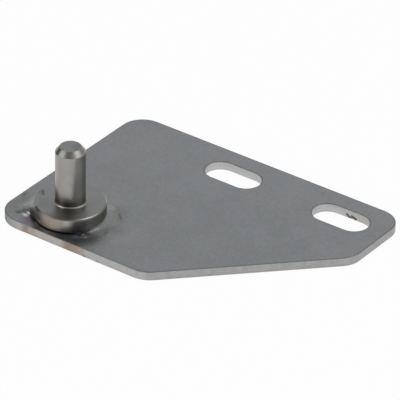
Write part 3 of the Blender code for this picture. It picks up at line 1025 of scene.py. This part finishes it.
def bead_crown(tree, size, angle, radius, outwards, share, leg, arc):
    """Return how high the bead stands over the plate at a place round the pin, and its end face."""
    along = share.at_least(0.0).at_most(1.0)
    run = along * arc
    left = arc * (1.0 - along)
    spot = tree.vector(radius * angle.cosine() + size["Seed"], radius * angle.sine(), size["Seed"])
    lumps = tree.noise(spot, LUMPS) - 0.5
    grit = tree.noise(spot, GRIT) - 0.5

    near_start = 1.0 - (run / size["Round Start"]).at_most(1.0)
    near_end = 1.0 - (left / size["Round End"]).at_most(1.0)
    swell = (1.0 - near_start * near_start) ** size["Start Curve"] * (1.0 - near_end * near_end).root()
    climb = along.ease(0.0, size["Climb"])
    tall = size["Start Height"] + (size["Height"] - size["Start Height"]) * climb
    toe = leg * (swell * (1.0 - TOE_AT_ENDS) + TOE_AT_ENDS) * (1.0 + lumps * TOE_WANDER)
    reach = (outwards.at_least(0.0) / toe).at_most(REACH_LIMIT)
    crown = tall * swell * (1.0 - reach ** size["Fullness"]) * reach.fade(size["Toe"], TOE_END)
    phase = run / size["Ripple Pitch"] - reach * reach * RIPPLE_LAG
    ripple = (phase * TURN).cosine() * 0.5 + 0.5
    crown = crown - ripple * ripple * size["Ripple Depth"] * crown.ease(*RIPPLE_START)
    dip = outwards.fade(0.0, size["Dip Reach"]) * along.fade(0.0, size["Dip End"])
    crown = crown - dip * size["Dip"]
    inwards = 0.0 - outwards
    crown = crown - inwards.ease(LIP_START, size["Overlap"] + LIP_MARGIN) * size["Lip"]
    crown = add_drops(size, angle, radius, crown)
    uneven = (lumps * 1.6 + grit * 0.4) * size["Lumps"] * swell * reach.fade(*UNEVEN_REACH)
    height = crown + uneven - (swell.fade(*SUNK_SWELL) + reach.ease(*SUNK_REACH)) * BEAD_SUNK
    return height.at_least(-BEAD_SUNK), left.fade(0.0, END_FACE_DEPTH)


def bead_tree():
    """Build the node tree that lays a fillet bead of frozen ripples along the collar's foot."""
    group = bpy.data.node_groups.new("weld_bead", "GeometryNodeTree")
    names = list(bead_inputs(LEFT_BEAD))
    for name in names:
        group.interface.new_socket(name=name, in_out="INPUT", socket_type="NodeSocketFloat")
    group.interface.new_socket(name="Finish", in_out="INPUT", socket_type="NodeSocketMaterial")
    group.interface.new_socket(name="Mesh", in_out="OUTPUT", socket_type="NodeSocketGeometry")
    tree = Tree(group)
    size = dict(zip(names + ["Finish"], tree.node("NodeGroupInput")))

    across, along, is_top = tree.xyz(tree.node("GeometryNodeInputPosition")[0])
    across = across + 0.5
    along = along + 0.5
    share = along * (1.0 + START_MARGIN + size["Tail"]) - START_MARGIN
    leg = bead_leg(size, share.at_least(0.0).at_most(1.0))
    outwards = across * (leg + size["Overlap"] + BEAD_MARGIN) - size["Overlap"]
    radius = size["Wall Radius"] + outwards
    arc = size["Sweep"] * radius - outwards.at_least(0.0) ** SLANT_CURVE * size["Slant"]
    angle = size["Start Angle"] + share * arc / radius
    crown, face = bead_crown(tree, size, angle, radius, outwards, share, leg, arc)
    height = size["Plate Top"] + is_top * (crown + BEAD_SINK) - BEAD_SINK
    place = tree.vector(radius * angle.cosine() * MM, radius * angle.sine() * MM, height * MM)

    mark = {"Geometry": closed_sheet(tree), "Name": FACE_MARK, "Value": face}
    on_points = {"data_type": "FLOAT", "domain": "POINT"}
    marked = tree.node("GeometryNodeStoreNamedAttribute", on_points, mark)[0]
    laid = tree.node("GeometryNodeSetPosition", {}, {"Geometry": marked, "Position": place})[0]
    smooth = tree.node("GeometryNodeSetShadeSmooth", {}, {"Geometry": laid})[0]
    real = tree.node("GeometryNodeRealizeInstances", {}, {"Geometry": smooth})[0]
    coated = tree.node("GeometryNodeSetMaterial", {}, {"Geometry": real, "Material": size["Finish"]})[0]
    tree.node("NodeGroupOutput", {}, (coated,))
    return group


def lay_bead(name, node, group, bead, finish):
    """Lay one weld bead with the node tree and bake it to a plain mesh."""
    piece = new_object(name, bpy.data.meshes.new(name))
    laid = piece.modifiers.new("bead", "NODES")
    laid.node_group = group
    values = {**bead_inputs(bead), "Finish": finish}
    for socket in group.interface.items_tree:
        if socket.in_out == "INPUT":
            laid[socket.identifier] = values[socket.name]
    apply_modifiers(piece)
    settle(piece, node)


# Studio: where cards and lamps stand, as turns from the camera and heights in degrees
Card = namedtuple("Card", "turn height half_width half_height soft shade")
CARDS = (
    Card(180.0, 36.0, 92.0, 50.0, 16.0, 0.56),
    Card(-24.0, 46.0, 34.0, 34.0, 14.0, 0.22),
    Card(20.0, 36.0, 34.0, 22.0, 24.0, 0.55),
    Card(0.0, 74.0, 100.0, 26.0, 12.0, 0.30),
    Card(-120.0, 14.0, 34.0, 24.0, 12.0, 0.42),
)
Lamp = namedtuple("Lamp", "name turn height distance width depth power")
LAMPS = (
    Lamp("left_softbox", -76.0, 30.0, 1.1, 0.74, 0.50, 1.21),
    Lamp("right_softbox", 72.0, 42.0, 1.1, 0.62, 0.55, 1.12),
)
WORLD_LEVEL = 0.62
FLOOR_SIDE = 6.0
FLOOR_DROP = 0.02 * MM
FLOOR_COLOUR = (0.9, 0.9, 0.9)
FLOOR_WHITE = 1.03
FLOOR_SHOWN = 0.93
FLOOR_MIRRORED = 0.8


def studio_direction(turn, height):
    """Return the direction at a turn from the camera and a height over the floor, in degrees."""
    angle = CAMERA_AZIMUTH - radians(90.0) + radians(turn)
    level = cos(radians(height))
    return Vector((level * cos(angle), level * sin(angle), sin(radians(height))))


def light_world():
    """White all round for the camera and in reflections, with soft cards that shade the metal."""
    world = bpy.data.worlds.new("studio")
    bpy.context.scene.world = world
    tree = empty_tree(world)
    x, y, z = tree.xyz(tree.node("ShaderNodeTexCoord")[GENERATED])
    height = z.maths("ARCSINE") * DEGREES
    turn = y.maths("ARCTAN2", x) * DEGREES - (CAMERA_AZIMUTH * DEGREES - 90.0)
    shade = 1.0
    for card in CARDS:
        apart = (turn - card.turn).maths("WRAP", 180.0, -180.0).size()
        above = (height - card.height).size()
        cover = apart.fade(card.half_width - card.soft, card.half_width)
        cover = cover * above.fade(card.half_height - card.soft, card.half_height)
        shade = (1.0 - cover * (1.0 - card.shade)) * shade
    camera, mirrored = tree.seen_rays()
    white = (camera + mirrored).at_most(1.0)
    level = (WORLD_LEVEL + white * (1.0 - WORLD_LEVEL)) * (camera + (1.0 - camera) * shade)
    backdrop = tree.node("ShaderNodeBackground", {}, {"Color": (*WHITE, 1.0), "Strength": level})[0]
    tree.node("ShaderNodeOutputWorld", {}, {"Surface": backdrop})


def floor_paint():
    """Return a pale paint that shows white and still takes a faint shadow."""
    paint = bpy.data.materials.new("pale_floor")
    tree = empty_tree(paint)
    camera, mirrored = tree.seen_rays()
    shown = (mirrored * FLOOR_MIRRORED).at_least(camera * FLOOR_SHOWN)
    matt = tree.node("ShaderNodeBsdfDiffuse", {}, {"Color": (*FLOOR_COLOUR, 1.0)})[0]
    white = tree.node("ShaderNodeEmission", {}, {"Color": (*WHITE, 1.0), "Strength": FLOOR_WHITE})[0]
    mixed = tree.node("ShaderNodeMixShader", {}, (shown, matt, white))[0]
    tree.node("ShaderNodeOutputMaterial", {}, {"Surface": mixed})
    return paint


def lay_floor():
    """Lay the plain floor just under the plate."""
    shape = bmesh.new()
    bmesh.ops.create_grid(shape, x_segments=1, y_segments=1, size=FLOOR_SIDE / 2.0)
    bmesh.ops.translate(shape, verts=shape.verts, vec=(0.0, 0.0, -FLOOR_DROP))
    mesh = bpy.data.meshes.new("floor")
    shape.to_mesh(mesh)
    shape.free()
    mesh.materials.append(floor_paint())
    floor = new_object("floor", mesh)


def hang_lamps():
    """Hang the two soft boxes, one on each side of the camera, facing the part."""
    aim = (Vector(cad_box[0]) + Vector(cad_box[1])) / 2.0
    for lamp in LAMPS:
        light = bpy.data.lights.new(lamp.name, "AREA")
        light.shape = "RECTANGLE"
        light.size = lamp.width
        light.size_y = lamp.depth
        light.energy = lamp.power
        hung = new_object(lamp.name, light)
        direction = studio_direction(lamp.turn, lamp.height)
        hung.location = aim + direction * lamp.distance
        hung.rotation_euler = direction.to_track_quat("Z", "Y").to_euler()


def place_camera():
    """Stand the camera where the photograph was taken from."""
    back = Vector((
        sin(CAMERA_AZIMUTH) * cos(CAMERA_ELEVATION),
        -cos(CAMERA_AZIMUTH) * cos(CAMERA_ELEVATION),
        sin(CAMERA_ELEVATION),
    ))
    level_right = Vector((cos(CAMERA_AZIMUTH), sin(CAMERA_AZIMUTH), 0.0))
    level_up = back.cross(level_right)
    right = cos(CAMERA_ROLL) * level_right + sin(CAMERA_ROLL) * level_up
    up = cos(CAMERA_ROLL) * level_up - sin(CAMERA_ROLL) * level_right
    middle = PHOTO_SIDE / 2.0
    across = (ORIGIN_PIXEL[0] - middle) / FOCAL_PIXELS * CAMERA_DISTANCE
    upwards = (middle - ORIGIN_PIXEL[1]) / FOCAL_PIXELS * CAMERA_DISTANCE
    lens = bpy.data.cameras.new("camera")
    lens.sensor_width = SENSOR_WIDTH
    lens.lens = SENSOR_WIDTH * FOCAL_PIXELS / PHOTO_SIDE
    lens.clip_start = CLIP_START
    lens.clip_end = CLIP_END
    camera = new_object("camera", lens)
    turned = Matrix((right, up, back)).transposed().to_4x4()
    spot = back * CAMERA_DISTANCE - right * across - up * upwards
    camera.matrix_world = Matrix.Translation(spot) @ turned
    bpy.context.scene.camera = camera


place_camera()
light_world()
lay_floor()
hang_lamps()
dress_plate()
dress_pin()
bead_nodes = bead_tree()
weld_metal = weld_steel()
lay_bead("left_weld", "weld_bead_left", bead_nodes, LEFT_BEAD, weld_metal)
lay_bead("right_weld", "weld_bead_right", bead_nodes, RIGHT_BEAD, weld_metal)

bpy.context.scene.view_settings.view_transform = "Standard"
